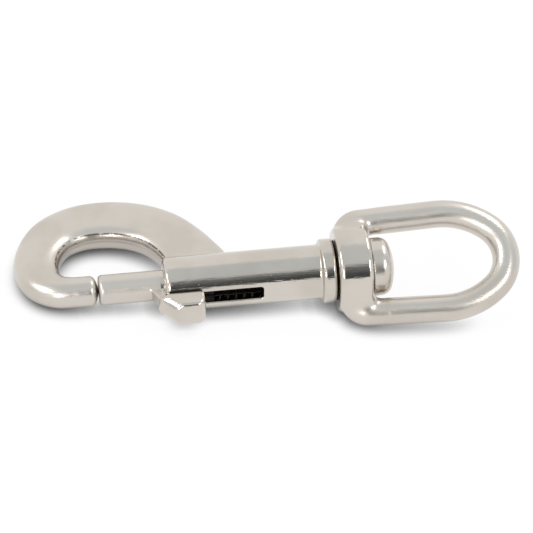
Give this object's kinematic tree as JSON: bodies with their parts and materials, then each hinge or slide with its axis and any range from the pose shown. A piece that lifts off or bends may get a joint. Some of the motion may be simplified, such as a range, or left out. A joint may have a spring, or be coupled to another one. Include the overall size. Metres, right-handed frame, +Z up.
{
  "type": "swivel bolt snap",
  "caption": "Cast swivel bolt snap: a flat hook closed by a sprung sliding bolt with a thumb tab, and a D-shaped swivel eye on a headed rivet.",
  "frame": {"origin": "centre of the box round the snap as it lies at rest, on the surface that it lies on", "axes": "+X from the hook towards the swivel eye, +Y towards the hook's spine, +Z up; the barrel's axis rises 4.8 degrees towards +X"},
  "size_m": [0.1056, 0.0394, 0.0194],
  "materials": {
    "nickel_plate": "bright nickel plate on a cast and lightly tumbled body",
    "spring_steel": "drawn spring wire, lightly oiled"
  },
  "bodies": {
    "hook": {"hook_body": "nickel_plate", "bolt_spring": "spring_steel", "swivel_rivet": "nickel_plate"},
    "bolt": {"bolt": "nickel_plate"},
    "eye": {"swivel_eye": "nickel_plate"}
  },
  "joints": [
    {"name": "bolt_slide", "type": "slide", "parent": "hook", "child": "bolt", "axis": [0.9965, 0, 0.0837], "range_m": [0, 0.0127], "stiffness_N_per_m": 400, "springref_m": -0.0075, "deforming": ["bolt_spring"]},
    {"name": "eye_swivel", "type": "hinge", "parent": "hook", "child": "eye", "pos_m": [0.01758, -0.00829, 0.00913], "axis": [0.9965, 0, 0.0837], "continuous": true}
  ]
}
